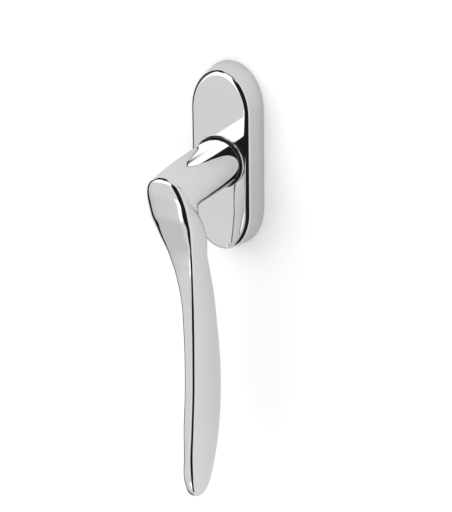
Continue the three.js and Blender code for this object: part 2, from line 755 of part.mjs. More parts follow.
function fixingScrew(z) {
  const head = BASE_FRONT - SCREW_SUNK;
  const body = turned([
    [0, -SCREW_END],
    [SCREW_RADIUS - SCREW_POINT_NARROWING, -SCREW_END],
    [SCREW_RADIUS, -SCREW_END + SCREW_POINT_LENGTH],
    [SCREW_RADIUS, head - SCREW_CONE_LENGTH],
    [SCREW_HEAD_RADIUS, head - SCREW_RIM],
    [SCREW_HEAD_RADIUS, head],
    [0, head],
  ], MEDIUM);
  const floor = head - RECESS_DEPTH;
  const slots = [
    box(RECESS_REACH, floor, CUT_THROUGH, -RECESS_HALF_WIDTH, RECESS_HALF_WIDTH),
    box(RECESS_HALF_WIDTH, floor, CUT_THROUGH, -RECESS_REACH, RECESS_REACH),
  ];
  return moved(cut(body, slots), 0, 0, z);
}

addPiece("lever_handle", leverHandle(), CHROME);
addPiece("collar_ring", collarRing(), CHROME);
addPiece("rose_cover", roseCover(), CHROME);
addPiece("base_plate", basePlate(), CAST_ZINC);
addPiece("back_plate", backPlate(), ZINC_STEEL);
addPiece("neck_bush", neckBush(), DARK_PLASTIC);
addPiece("detent_rotor", detentRotor(), HARD_STEEL);
addPiece("thrust_washer", thrustWasher(), DARK_PLASTIC);
addPiece("wave_washer", waveWasher(), SPRING_STEEL);
addPiece("retaining_ring", retainingRing(), SPRING_STEEL);
addPiece("spindle", spindle(), ZINC_STEEL);
addPiece("spindle_pin", spindlePin(), HARD_STEEL);
for (const [label, side] of [["upper", 1], ["lower", -1]]) {
  addPiece(`detent_ball_${label}`, detentBall(side), HARD_STEEL);
  addPiece(`detent_spring_${label}`, detentSpring(side), SPRING_STEEL);
  addPiece(`fixing_screw_${label}`, fixingScrew((side * SCREW_SPACING) / 2), ZINC_STEEL);
  for (const [hand, across] of [["left", -1], ["right", 1]]) {
    addPiece(`cover_clip_${label}_${hand}`, coverClip(side * CLIP_HEIGHT, across), SPRING_STEEL);
  }
  addPiece(`plate_rivet_${label}`, rivet(side * RIVET_OFFSET), ZINC_STEEL);
}

export default part;
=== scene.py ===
import json
import math

import bmesh
import bpy
from mathutils import Matrix, Vector


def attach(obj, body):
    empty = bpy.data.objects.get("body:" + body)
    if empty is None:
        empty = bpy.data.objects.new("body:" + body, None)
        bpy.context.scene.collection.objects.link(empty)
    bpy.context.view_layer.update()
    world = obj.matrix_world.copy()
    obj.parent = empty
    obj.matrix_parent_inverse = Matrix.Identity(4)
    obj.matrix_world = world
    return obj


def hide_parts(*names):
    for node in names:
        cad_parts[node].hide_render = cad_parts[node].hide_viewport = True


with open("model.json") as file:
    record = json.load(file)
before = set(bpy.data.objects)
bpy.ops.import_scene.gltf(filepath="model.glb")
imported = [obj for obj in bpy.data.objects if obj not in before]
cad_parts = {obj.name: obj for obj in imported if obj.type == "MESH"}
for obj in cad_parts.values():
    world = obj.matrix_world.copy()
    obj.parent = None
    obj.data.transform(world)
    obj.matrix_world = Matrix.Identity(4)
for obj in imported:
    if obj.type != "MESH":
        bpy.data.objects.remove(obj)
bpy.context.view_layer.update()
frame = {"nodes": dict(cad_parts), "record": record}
mm = 0.001
print("frame loaded:", len(frame["nodes"]), "pieces from the CAD model")


# -Y is toward the room; lengths are in mm until the mesh is built
meshSettings = {"weld": 1e-7, "onAxis": 1e-6, "cornerReach": 0.45}


def meshFrom(name, points, faces, smoothAngle=35):
    data = bpy.data.meshes.new(name)
    data.from_pydata([(x * mm, y * mm, z * mm) for x, y, z in points], [], faces)
    work = bmesh.new()
    work.from_mesh(data)
    bmesh.ops.remove_doubles(work, verts=work.verts, dist=meshSettings["weld"])
    bmesh.ops.recalc_face_normals(work, faces=work.faces)
    limit = math.radians(smoothAngle)
    for face in work.faces:
        face.smooth = True
    for edge in work.edges:
        edge.smooth = len(edge.link_faces) == 2 and edge.calc_face_angle(0) < limit
    work.to_mesh(data)
    work.free()
    piece = bpy.data.objects.new(name, data)
    bpy.context.scene.collection.objects.link(piece)
    return piece


def skinRings(rings, closed=False):
    # rings of equal length joined side by side; open ends get a cap
    count = len(rings[0])
    points = [point for ring in rings for point in ring]
    faces = []
    total = len(rings)
    for i in range(total if closed else total - 1):
        for j in range(count):
            k = (j + 1) % count
            here, there = i * count, ((i + 1) % total) * count
            faces.append((here + j, here + k, there + k, there + j))
    if not closed:
        for end in (0, total - 1):
            middle = [sum(point[axis] for point in rings[end]) / count for axis in range(3)]
            points.append(middle)
            hub = len(points) - 1
            for j in range(count):
                faces.append((end * count + j, end * count + (j + 1) % count, hub))
    return points, faces


def turnedPiece(name, profile, centre=(0, 0), segments=96, smoothAngle=35):
    # profile points are (radius, depth); a point on the axis closes the piece there
    points, faces = [], []
    rows = []
    for radius, depth in profile:
        if radius < meshSettings["onAxis"]:
            points.append((centre[0], -depth, centre[1]))
            rows.append([len(points) - 1] * segments)
            continue
        row = []
        for i in range(segments):
            angle = 2 * math.pi * i / segments
            across, up = radius * math.cos(angle), radius * math.sin(angle)
            points.append((centre[0] + across, -depth, centre[1] + up))
            row.append(len(points) - 1)
        rows.append(row)
    for a, b in zip(rows, rows[1:]):
        for i in range(segments):
            j = (i + 1) % segments
            corner = [a[i], a[j], b[j], b[i]]
            face = [v for n, v in enumerate(corner) if v not in corner[:n]]
            if len(face) > 2:
                faces.append(face)
    return meshFrom(name, points, faces, smoothAngle)


def roundedProfile(corners, radius, steps=5):
    # each corner is (radius, depth) or (radius, depth, own rounding)
    out = []
    for i, corner in enumerate(corners):
        here = Vector(corner[:2])
        if i in (0, len(corners) - 1):
            out.append(tuple(here))
            continue
        before, after = Vector(corners[i - 1][:2]), Vector(corners[i + 1][:2])
        size = corner[2] if len(corner) > 2 else radius
        reachIn = min(size, (before - here).length * meshSettings["cornerReach"])
        reachOut = min(size, (after - here).length * meshSettings["cornerReach"])
        start = here + (before - here).normalized() * reachIn
        end = here + (after - here).normalized() * reachOut
        for k in range(steps + 1):
            t = k / steps
            out.append(tuple(start * (1 - t) ** 2 + here * 2 * t * (1 - t) + end * t * t))
    return out


def newMaterial(name):
    material = bpy.data.materials.new(name)
    material.use_nodes = True
    tree = material.node_tree
    tree.nodes.clear()
    output = tree.nodes.new("ShaderNodeOutputMaterial")
    shader = tree.nodes.new("ShaderNodeBsdfPrincipled")
    tree.links.new(shader.outputs["BSDF"], output.inputs["Surface"])
    place = tree.nodes.new("ShaderNodeTexCoord")
    return material, tree, shader, place.outputs["Object"]


def addNoise(tree, place, scale, detail=3, stretch=(1, 1, 1), roughness=0.5):
    mapping = tree.nodes.new("ShaderNodeMapping")
    mapping.inputs["Scale"].default_value = stretch
    noise = tree.nodes.new("ShaderNodeTexNoise")
    noise.inputs["Scale"].default_value = scale
    noise.inputs["Detail"].default_value = detail
    noise.inputs["Roughness"].default_value = roughness
    tree.links.new(place, mapping.inputs["Vector"])
    tree.links.new(mapping.outputs["Vector"], noise.inputs["Vector"])
    return noise.outputs["Fac"]


def mapRange(tree, value, low, high, fromLow=0.3, fromHigh=0.7):
    node = tree.nodes.new("ShaderNodeMapRange")
    node.inputs["From Min"].default_value = fromLow
    node.inputs["From Max"].default_value = fromHigh
    node.inputs["To Min"].default_value = low
    node.inputs["To Max"].default_value = high
    tree.links.new(value, node.inputs["Value"])
    return node.outputs["Result"]


def mixColours(tree, factor, first, second):
    node = tree.nodes.new("ShaderNodeMix")
    node.data_type = "RGBA"      # its colour sockets are inputs 6 and 7
    tree.links.new(factor, node.inputs["Factor"])
    node.inputs[6].default_value = (*first, 1)
    node.inputs[7].default_value = (*second, 1)
    return node.outputs[2]


def addBump(tree, shader, height, strength, distance, under=None):
    bump = tree.nodes.new("ShaderNodeBump")
    bump.inputs["Strength"].default_value = strength
    bump.inputs["Distance"].default_value = distance
    tree.links.new(height, bump.inputs["Height"])
    if under is not None:
        tree.links.new(under, bump.inputs["Normal"])
    tree.links.new(bump.outputs["Normal"], shader.inputs["Normal"])
    return bump.outputs["Normal"]


def surfaceColour(tree, shader, pattern, look):
    colour = mixColours(tree, mapRange(tree, pattern, 0, 1), look["dark"], look["light"])
    tree.links.new(colour, shader.inputs["Base Color"])


chromeLook = {
    "light": (0.895, 0.903, 0.915), "dark": (0.865, 0.873, 0.885), "rough": (0.025, 0.05),
    "patchScale": 55, "wipeScale": 900, "wipeStretch": (1, 1, 0.05), "waveScale": 120,
    "orangePeel": 0.02, "peelHeight": 0.0001, "hairlines": 0.012, "hairHeight": 0.00002,
}


def chromeMaterial():
    # decorative chrome over a polished casting: faint polishing waves and hair-fine wipe marks
    look = chromeLook
    material, tree, shader, place = newMaterial("polished chrome plate")
    surfaceColour(tree, shader, addNoise(tree, place, look["patchScale"], 2), look)
    shader.inputs["Metallic"].default_value = 1
    wipes = addNoise(tree, place, look["wipeScale"], 2, look["wipeStretch"])
    tree.links.new(mapRange(tree, wipes, *look["rough"]), shader.inputs["Roughness"])
    waves = addNoise(tree, place, look["waveScale"], 1)
    first = addBump(tree, shader, waves, look["orangePeel"], look["peelHeight"])
    addBump(tree, shader, wipes, look["hairlines"], look["hairHeight"], first)
    return material


castLook = {
    "light": (0.42, 0.425, 0.43), "dark": (0.27, 0.275, 0.285), "rough": (0.38, 0.62), "metallic": 0.9,
    "flowScale": 90, "flowStretch": (1, 1, 0.35), "flowRoughness": 0.6,
    "flowBump": 0.15, "flowHeight": 0.0001,
    "grainScale": 2600, "grainBump": 0.35, "grainHeight": 0.00003,
}


def castMaterial():
    # die-cast zinc straight from the tool: matt grey skin with flow marks and fine grain
    look = castLook
    material, tree, shader, place = newMaterial("die-cast zinc")
    flow = addNoise(tree, place, look["flowScale"], 5, look["flowStretch"], look["flowRoughness"])
    surfaceColour(tree, shader, flow, look)
    shader.inputs["Metallic"].default_value = look["metallic"]
    tree.links.new(mapRange(tree, flow, *look["rough"]), shader.inputs["Roughness"])
    grain = addNoise(tree, place, look["grainScale"], 2)
    first = addBump(tree, shader, flow, look["flowBump"], look["flowHeight"])
    addBump(tree, shader, grain, look["grainBump"], look["grainHeight"], first)
    return material


zincLook = {
    "light": (0.62, 0.64, 0.67), "dark": (0.44, 0.46, 0.50), "rough": (0.42, 0.22), "cloudScale": 160,
    "lineScale": 2200, "lineStretch": (1, 0.03, 1), "lineBump": 0.25, "lineHeight": 0.00002,
}


def zincMaterial():
    # bright zinc plate with its cloudy blue cast and fine drawing lines along the part
    look = zincLook
    material, tree, shader, place = newMaterial("zinc-plated steel")
    clouds = addNoise(tree, place, look["cloudScale"], 4)
    surfaceColour(tree, shader, clouds, look)
    shader.inputs["Metallic"].default_value = 1
    tree.links.new(mapRange(tree, clouds, *look["rough"]), shader.inputs["Roughness"])
    lines = addNoise(tree, place, look["lineScale"], 2, look["lineStretch"])
    addBump(tree, shader, lines, look["lineBump"], look["lineHeight"])
    return material


hardLook = {
    "light": (0.36, 0.37, 0.38), "dark": (0.22, 0.22, 0.23), "rough": (0.18, 0.32), "stainScale": 300,
    "pitScale": 3000, "pitBump": 0.2, "pitHeight": 0.00002, "oilFilm": 0.25, "oilRoughness": 0.2,
}


def hardMaterial():
    # hardened, tumbled steel with a thin oil film
    look = hardLook
    material, tree, shader, place = newMaterial("hardened steel")
    stains = addNoise(tree, place, look["stainScale"], 4)
    surfaceColour(tree, shader, stains, look)
    shader.inputs["Metallic"].default_value = 1
    tree.links.new(mapRange(tree, stains, *look["rough"]), shader.inputs["Roughness"])
    pits = addNoise(tree, place, look["pitScale"], 2)
    addBump(tree, shader, pits, look["pitBump"], look["pitHeight"])
    shader.inputs["Coat Weight"].default_value = look["oilFilm"]
    shader.inputs["Coat Roughness"].default_value = look["oilRoughness"]
    return material


springLook = {
    "light": (0.20, 0.21, 0.24), "dark": (0.10, 0.10, 0.12), "rough": (0.24, 0.4),
    "tintScale": 420, "tintBump": 0.1, "tintHeight": 0.00002,
}


def springMaterial():
    # blued spring steel, darker where the heat tint is thickest
    look = springLook
    material, tree, shader, place = newMaterial("blued spring steel")
    tint = addNoise(tree, place, look["tintScale"], 3)
    surfaceColour(tree, shader, tint, look)
    shader.inputs["Metallic"].default_value = 1
    tree.links.new(mapRange(tree, tint, *look["rough"]), shader.inputs["Roughness"])
    addBump(tree, shader, tint, look["tintBump"], look["tintHeight"])
    return material


plasticLook = {
    "light": (0.035, 0.035, 0.037), "dark": (0.016, 0.016, 0.017), "rough": (0.42, 0.6), "cloudScale": 200,
    "grainScale": 3500, "grainBump": 0.3, "grainHeight": 0.00003,
}


def plasticMaterial():
    # black acetal with the fine texture of a moulding tool
    look = plasticLook
    material, tree, shader, place = newMaterial("black moulded plastic")
    cloud = addNoise(tree, place, look["cloudScale"], 2)
    surfaceColour(tree, shader, cloud, look)
    tree.links.new(mapRange(tree, cloud, *look["rough"]), shader.inputs["Roughness"])
    grain = addNoise(tree, place, look["grainScale"], 2)
    addBump(tree, shader, grain, look["grainBump"], look["grainHeight"])
    return material


finishes = {
    "chrome": chromeMaterial(),
    "cast_zinc": castMaterial(),
    "zinc_steel": zincMaterial(),
    "hard_steel": hardMaterial(),
    "spring_steel": springMaterial(),
    "dark_plastic": plasticMaterial(),
}
print("finishes made:", len(finishes))


def finishPiece(piece, slot, body, *nodes):
    piece.data.materials.clear()
    piece.data.materials.append(finishes[slot])
    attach(piece, body)
    if nodes:
        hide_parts(*nodes)


# the lever: a round neck that runs out into a thin, deep grip;
# outer and inner are (projection, height) of the section's two ends, room side and sash side

lever = {
    "stations": [
        # outer        inner          wide  face  crown belly full
        ((9.1, 9.8), (9.1, -9.8), 9.8, 2.0, 0.206, 0.5, 1),
        ((20.5, 9.8), (20.5, -9.8), 9.8, 2.0, 0.206, 0.5, 1),
        ((29.5, 9.8), (27.5, -9.8), 9.75, 2.0, 0.21, 0.5, 1),
        ((38.5, 9.6), (33, -9.8), 9.55, 2.0, 0.21, 0.5, 1),
        ((46, 9.2), (35.8, -9.9), 9.2, 2.0, 0.22, 0.5, 1),
        ((51.6, 8.9), (36.9, -10.4), 8.9, 2.1, 0.26, 0.51, 0.95),
        ((54.4, 8.6), (37.2, -11.2), 8.7, 2.6, 0.35, 0.52, 0.9),
        ((55.4, 7.9), (37.1, -12.2), 8.6, 3.9, 0.45, 0.53, 0.85),
        ((55.8, 6.6), (36.8, -13.4), 8.5, 5.8, 0.35, 0.54, 0.8),
        ((55.7, 4), (36.2, -15), 8.45, 7.2, 0.3, 0.55, 0.75),
        ((54.9, 0.4), (35.5, -17), 8.4, 7.8, 0.28, 0.56, 0.7),
        ((53.5, -4), (34.5, -19.6), 8.3, 7.85, 0.28, 0.58, 0.62),
        ((51.6, -10), (33.1, -23.2), 7.9, 7.59, 0.28, 0.6, 0.55),
        ((49.3, -15), (31.9, -26.2), 7.4, 6.9, 0.28, 0.62, 0.48),
        ((46.9, -20.4), (30.5, -29.4), 6.8, 6.03, 0.28, 0.62, 0.42),
        ((44.3, -26.2), (28.8, -33.2), 6.3, 4.96, 0.28, 0.62, 0.38),
        ((42.4, -31.9), (27, -37.2), 5.8, 4.15, 0.2, 0.62, 0.35),
        ((40.8, -37.8), (25, -41.8), 5.4, 3.4, 0.2, 0.62, 0.35),
        ((38.7, -50), (21.6, -52), 4.9, 2.44, 0.2, 0.62, 0.35),
        ((38.1, -63), (19.2, -64), 4.6, 2.16, 0.2, 0.62, 0.35),
        ((38, -76.5), (17, -77), 4.5, 1.99, 0.2, 0.62, 0.35),
        ((38.5, -91), (16.1, -91), 4.5, 1.98, 0.2, 0.62, 0.35),
        ((39.8, -104.5), (16.8, -104), 4.4, 2.02, 0.2, 0.62, 0.35),
        ((40.6, -117), (18.7, -115.6), 4.2, 1.83, 0.35, 0.6, 0.35),
        ((40.8, -126), (21.5, -124.6), 3.9, 2.05, 0.35, 0.58, 0.38),
        ((39.6, -131.8), (24.2, -130.8), 3.6, 1.75, 0.33, 0.55, 0.45),
        ((38.2, -135), (26.8, -134.6), 3.1, 1.5, 0.4, 0.53, 0.6),
        ((36.6, -136.6), (29.8, -136.5), 2.3, 1.1, 0.3, 0.5, 0.8),
        ((35.2, -137.2), (32.2, -137.2), 1.2, 0.6, 0.18, 0.5, 1),
    ],
    "stepsBetween": 8,
    "faceSteps": 8,
    "sideSteps": 14,
    "backSteps": 16,
    "backSquareness": 0.6,
    "faceGrowth": 1.18,       # the front face is a little wider than its softened edges show
    # how much of the half face its softened edge takes, at heights down the lever
    "edgeRounding": ((-12, 0.5), (-24, 0.3), (-42, 0.3), (-60, 0.4)),
    "farthest": 55.82,        # the front of the spoon, from the sash
    "sideStandOut": 0.3,      # the sides are at least this much wider than the face
    # the journal's outline as (radius, depth)
    "journal": [(0, 1.12), (6.8, 1.12), (7, 1.3), (7, 4.66), (8, 4.66), (8, 9.9), (0, 9.9)],
    "journalSegments": 72,
}


def flatStation(station):
    outer, inner, *rest = station
    return [*outer, *inner, *rest]


def between(a, b, c, d, t):
    # a smooth run from b to c that keeps the sweep of a and d
    return [
        0.5 * (2 * q + (r - p) * t + (2 * p - 5 * q + 4 * r - s) * t * t + (3 * q - p - 3 * r + s) * t ** 3)
        for p, q, r, s in zip(a, b, c, d)
    ]


def alongLever(table, height):
    # straight-line reading between the heights of a table that runs downward
    if height >= table[0][0]:
        return table[0][1]
    for (high, first), (low, second) in zip(table, table[1:]):
        if height >= low:
            return first + (second - first) * (high - height) / (high - low)
    return table[-1][1]


def roundCorner(points, index, reach, steps=12):
    # swaps the point at index for a small arc that leaves the line reach before it and joins reach after it
    def walk(direction):
        left, i = reach, index
        while 0 <= i + direction < len(points):
            gap = (points[i + direction] - points[i]).length
            if gap >= left:
                return points[i].lerp(points[i + direction], left / gap), i + direction
            left -= gap
            i += direction
        return points[i], i
    start, keepTo = walk(-1)
    end, keepFrom = walk(1)
    corner = points[index]
    arc = []
    for k in range(steps + 1):
        t = k / steps
        arc.append(start * (1 - t) ** 2 + corner * 2 * t * (1 - t) + end * t * t)
    return points[:keepTo + 1], arc, points[keepFrom:]


def resample(points, count):
    # the same line with its points spread evenly
    lengths = [0]
    for a, b in zip(points, points[1:]):
        lengths.append(lengths[-1] + (b - a).length)
    out, k = [], 0
    for i in range(count + 1):
        target = lengths[-1] * i / count
        while k < len(points) - 2 and lengths[k + 1] < target:
            k += 1
        span = max(lengths[k + 1] - lengths[k], meshSettings["weld"])
        out.append(points[k].lerp(points[k + 1], min(1, (target - lengths[k]) / span)))
    return out


def leverSection(values):
    # one closed section: nearly flat face, softened edge, side and rounded back, then its mirror image
    outP, outZ, inP, inZ, wide, face, crown, belly, full = values
    outP = min(outP, lever["farthest"])
    face *= 1 + (lever["faceGrowth"] - 1) * min(1, 2 - 2 * full)
    wide = max(wide, face + lever["sideStandOut"])
    depth = math.hypot(inP - outP, inZ - outZ)
    along = ((inP - outP) / depth, (inZ - outZ) / depth)
    widest = belly * depth
    power = 2 / (2 + lever["backSquareness"] * (1 - full))
    startAngle = math.asin(face / wide)
    half = [Vector((face * i / lever["faceSteps"], crown * (i / lever["faceSteps"]) ** 2))
            for i in range(lever["faceSteps"] + 1)]
    corner = len(half) - 1
    for i in range(1, lever["sideSteps"] + 1):
        angle = startAngle + (math.pi / 2 - startAngle) * i / lever["sideSteps"]
        s = widest - (widest - crown) * math.cos(angle) / math.cos(startAngle)
        t = (s - crown) / (widest - crown)
        flat = face + (wide - face) * math.sin(math.pi / 2 * t)
        half.append(Vector((full * wide * math.sin(angle) + (1 - full) * flat, s)))
    for i in range(1, lever["backSteps"] + 1):
        angle = math.pi / 2 * i / lever["backSteps"]
        s = widest + (depth - widest) * math.sin(angle) ** power
        half.append(Vector((wide * max(0, math.cos(angle)) ** power, s)))
    rounding = alongLever(lever["edgeRounding"], outZ)
    before, arc, after = roundCorner(half, corner, rounding * face)
    frontRun = resample(before + [arc[0]], lever["faceSteps"])
    sideRun = resample([arc[-1]] + after, lever["sideSteps"] + lever["backSteps"])
    line = frontRun + arc[1:-1] + sideRun
    loop = line + [Vector((-point.x, point.y)) for point in line[-2:0:-1]]
    return [(point.x, -(outP + along[0] * point.y), outZ + along[1] * point.y) for point in loop]


def makeLever():
    stations = [flatStation(station) for station in lever["stations"]]
    last = len(stations) - 1
    rings = []
    for i in range(last):
        near = [stations[max(0, min(last, i + k))] for k in (-1, 0, 1, 2)]
        for k in range(lever["stepsBetween"]):
            rings.append(leverSection(between(*near, k / lever["stepsBetween"])))
    rings.append(leverSection(stations[last]))
    points, faces = skinRings(rings)
    grip = meshFrom("leverGrip", points, faces, 60)
    finishPiece(grip, "chrome", "handle", "lever_handle")
    journal = turnedPiece("leverJournal", lever["journal"], segments=lever["journalSegments"])
    finishPiece(journal, "cast_zinc", "handle")
    print("lever:", len(grip.data.polygons), "faces")


# the rose: a drawn oval cover with rolled edges, and the ring round the neck
rose = {
    "halfWidth": 14, "straight": 20.3, "endRatio": 1.31, "depth": 10.6, "steps": 64,
    "taper": 1.0, "edge": 1.5, "roll": 2.3, "rollSteps": 24, "wall": 1.1, "hole": 10.15,
    "restGap": 0.02,
    "backRim": ((0.35, 0.02), (0.1, 0.1), (0, 0.35)),     # (inset, depth) where the wall meets the sash
    "innerCorner": ((1.2, 0), (0.4, 0.9)),                # (inset, drop) of the corner inside the cover
    "collarGap": 0.03, "collarHeight": 1.2, "collarRadius": 10.9, "collarBevel": 0.55,
    "sleeveInner": 10.64, "sleeveDrop": 0.25, "lipRadius": 10.62, "lipInner": 10.03, "lipWidth": 0.1,
    "collarSegments": 144,
}


def ovalRing(inset, depth):
    steps = rose["steps"]
    halfWidth = rose["halfWidth"] - inset
    reach = rose["halfWidth"] * rose["endRatio"] - inset
    ring = []
    for side in (1, -1):
        for i in range(steps + 1):
            angle = math.pi * i / steps
            ring.append((side * halfWidth * math.cos(angle), -depth,
                         side * (rose["straight"] + reach * math.sin(angle))))
    return ring


def holeRing(radius, depth):
    steps = rose["steps"]
    gap = math.pi / (2 * (steps + 1))
    ring = []
    for side in (1, -1):
        for i in range(steps + 1):
            angle = gap + (math.pi - 2 * gap) * i / steps
            ring.append((side * radius * math.cos(angle), -depth, side * radius * math.sin(angle)))
    return ring


def makeCover():
    wallTop = rose["depth"] - rose["edge"]
    rings = [ovalRing(inset, depth) for inset, depth in rose["backRim"]]
    for part in (0.25, 0.5, 0.75):
        rings.append(ovalRing(rose["taper"] * part, wallTop * part))
    for i in range(rose["rollSteps"] + 1):
        angle = math.pi / 2 * i / rose["rollSteps"]
        inset = rose["taper"] + rose["roll"] * (1 - math.cos(angle))
        rings.append(ovalRing(inset, wallTop + rose["edge"] * math.sin(angle)))
    rings.append(holeRing(rose["hole"], rose["depth"]))
    inner = rose["depth"] - rose["wall"]
    rings.append(holeRing(rose["hole"], inner))
    for inset, drop in rose["innerCorner"]:
        rings.append(ovalRing(rose["taper"] + rose["wall"] + inset, inner - drop))
    rings.append(ovalRing(rose["wall"], rose["restGap"]))
    points, faces = skinRings(rings, closed=True)
    cover = meshFrom("roseCover", points, faces, 40)
    finishPiece(cover, "chrome", "cover", "rose_cover")
    back = rose["depth"] + rose["collarGap"]
    front = rose["depth"] + rose["collarHeight"]
    top = front - rose["sleeveDrop"]
    outside, inside, split = rose["collarRadius"], rose["lipInner"], rose["lipRadius"]
    sleeve = roundedProfile([
        (rose["sleeveInner"], back), (outside, back, 0.05), (outside, front - rose["collarBevel"], 0.12),
        (rose["sleeveInner"], top, 0.06), (rose["sleeveInner"], back),
    ], 0.1, 8)
    ring = turnedPiece("collarRing", sleeve, segments=rose["collarSegments"])
    finishPiece(ring, "chrome", "cover", "collar_ring")
    # a dark lip inside the ring guides the neck
    lip = roundedProfile([
        (split, back), (split, top, 0.05), (inside + rose["lipWidth"], front, 0.05),
        (inside, front - rose["lipWidth"], 0.03), (inside, back), (split, back),
    ], 0.1, 6)
    finishPiece(turnedPiece("collarLip", lip, segments=rose["collarSegments"]), "dark_plastic", "cover")
    print("rose cover:", len(cover.data.polygons), "faces")


# the parts behind the cover that also show from the back
fixingScrew = {
    "heights": {"fixing_screw_upper": 21.5, "fixing_screw_lower": -21.5},
    "end": -38, "headFront": 8.05, "headRadius": 4.7, "radius": 2.4, "root": 1.95, "pitch": 0.8,
    "stepsPerTurn": 8, "segments": 40, "runIn": 1.4, "pointing": 0.5, "flank": 2.3, "crestFlat": 1.25,
    "shankStart": 3.3, "coneStart": 3.4, "coneFoot": 3.0, "rim": 0.45, "headSegments": 64,
    "recess": 2.4, "recessWidth": 1.0, "recessDepth": 1.6, "recessTaper": 0.55, "cutterRise": 0.4,
}


def threadedShank(name, height):
    # rings along the screw whose radius follows the thread round and round
    size = fixingScrew
    top = size["headFront"] - size["shankStart"]
    count = int((top - size["end"]) / size["pitch"] * size["stepsPerTurn"])
    rings = []
    for i in range(count + 1):
        depth = size["end"] + (top - size["end"]) * i / count
        lead = min(1, (depth - size["end"]) / size["runIn"])
        ring = []
        for k in range(size["segments"]):
            angle = 2 * math.pi * k / size["segments"]
            phase = (depth / size["pitch"] - k / size["segments"]) % 1
            crest = max(0, 1 - abs(phase - 0.5) * size["flank"])
            radius = size["root"] + (size["radius"] - size["root"]) * min(1, crest * size["crestFlat"]) * lead
            radius -= size["pointing"] * (1 - lead)
            ring.append((radius * math.cos(angle), -depth, height + radius * math.sin(angle)))
        rings.append(ring)
    points, faces = skinRings(rings)
    return meshFrom(name, points, faces, 50)


def screwHead(name, height):
    # countersunk head with a cross recess cut in
    size = fixingScrew
    front = size["headFront"]
    head = turnedPiece(name, roundedProfile([
        (0, front - size["coneStart"]), (size["radius"] - 0.1, front - size["coneStart"], 0.02),
        (size["radius"], front - size["coneFoot"], 0.2), (size["headRadius"], front - size["rim"], 0.12),
        (size["headRadius"], front, 0.12), (0, front),
    ], 0.1), centre=(0, height), segments=size["headSegments"])
    long, wide = size["recess"] * mm, size["recessWidth"] / 2 * mm
    cutter = bmesh.new()
    for reachX, reachZ in ((long, wide), (wide, long)):
        tipX, tipZ = reachX * size["recessTaper"], reachZ * size["recessTaper"]
        rows = []
        ends = ((reachX, reachZ, front + size["cutterRise"]), (tipX, tipZ, front - size["recessDepth"]))
        for x, z, depth in ends:
            rows.append([cutter.verts.new((sx * x, -depth * mm, height * mm + sz * z))
                         for sx, sz in ((1, 1), (-1, 1), (-1, -1), (1, -1))])
        cutter.faces.new(rows[0])
        cutter.faces.new(rows[1][::-1])
        for i in range(4):
            j = (i + 1) % 4
            cutter.faces.new((rows[0][i], rows[1][i], rows[1][j], rows[0][j]))
    bmesh.ops.recalc_face_normals(cutter, faces=cutter.faces)
    data = bpy.data.meshes.new(name + "Cutter")
    cutter.to_mesh(data)
    cutter.free()
    tool = bpy.data.objects.new(name + "Cutter", data)
    bpy.context.scene.collection.objects.link(tool)
    cut = head.modifiers.new("recess", "BOOLEAN")
    cut.operation = "DIFFERENCE"
    cut.solver = "EXACT"
    cut.use_self = True
    cut.object = tool
    bpy.context.view_layer.update()
    shaped = bpy.data.meshes.new_from_object(head.evaluated_get(bpy.context.evaluated_depsgraph_get()))
    head.modifiers.clear()
    head.data = shaped
    bpy.data.objects.remove(tool)
    return head


def makeScrews():
    for node, height in fixingScrew["heights"].items():
        ending = node.split("_")[-1].capitalize()
        finishPiece(threadedShank("screwShank" + ending, height), "zinc_steel", "mounting", node)
        finishPiece(screwHead("screwHead" + ending, height), "zinc_steel", "mounting")
    print("fixing screws: threads and recesses")


spindleBar = {
    "half": 3.5, "corner": 0.55, "cornerSteps": 6,
    # (depth, how much the half side is drawn in) from the lever's socket to the pointed end
    "stations": ((16, 0.3), (15.7, 0), (-38.9, 0), (-39.85, 0.8), (-40, 1.0)),
}


def makeSpindle():
    # drawn square bar with rounded corners and a tapered end
    size = spindleBar
    rings = []
    for depth, drawnIn in size["stations"]:
        half = size["half"] - drawnIn
        ring = []
        for quarter in range(4):
            for k in range(size["cornerSteps"] + 1):
                angle = math.pi / 2 * (quarter + k / size["cornerSteps"])
                reach = half - size["corner"]
                signX = 1 if quarter in (0, 3) else -1
                signZ = 1 if quarter in (0, 1) else -1
                ring.append((signX * reach + size["corner"] * math.cos(angle), -depth,
                             signZ * reach + size["corner"] * math.sin(angle)))
        rings.append(ring)
    points, faces = skinRings(rings)
    finishPiece(meshFrom("spindleBar", points, faces, 40), "zinc_steel", "handle", "spindle")
    print("spindle")


makeScrews()
makeSpindle()
makeLever()
makeCover()

for name, node in frame["nodes"].items():
    slot = next(item["material_slot"] for item in frame["record"]["subparts"] if item["node"] == name)
    node.data.materials.clear()
    node.data.materials.append(finishes[slot])
print("inner works finished")


# studio: a white wall the rose sits on, a pale floor, a softly lit room
studio = {
    # the wall's tone in the metal's reflections is painted shade, darker than the wall itself
    "wallGap": 0.0002, "wallOpening": 2.7, "wallReach": 3, "wallPaintedMirrorShade": 0.58,
    "wallColour": 0.9, "wallClouding": 0.01, "wallRoughness": 0.9, "wallSpecular": 0.1, "cloudScale": 3,
    "floorHeight": -0.32, "floorReach": 3, "floorFront": -4,
    "domeStrength": 1.2, "keyStrength": 9, "keyPlace": (-0.9, -1.4, 1.1), "keySize": 1.6,
}


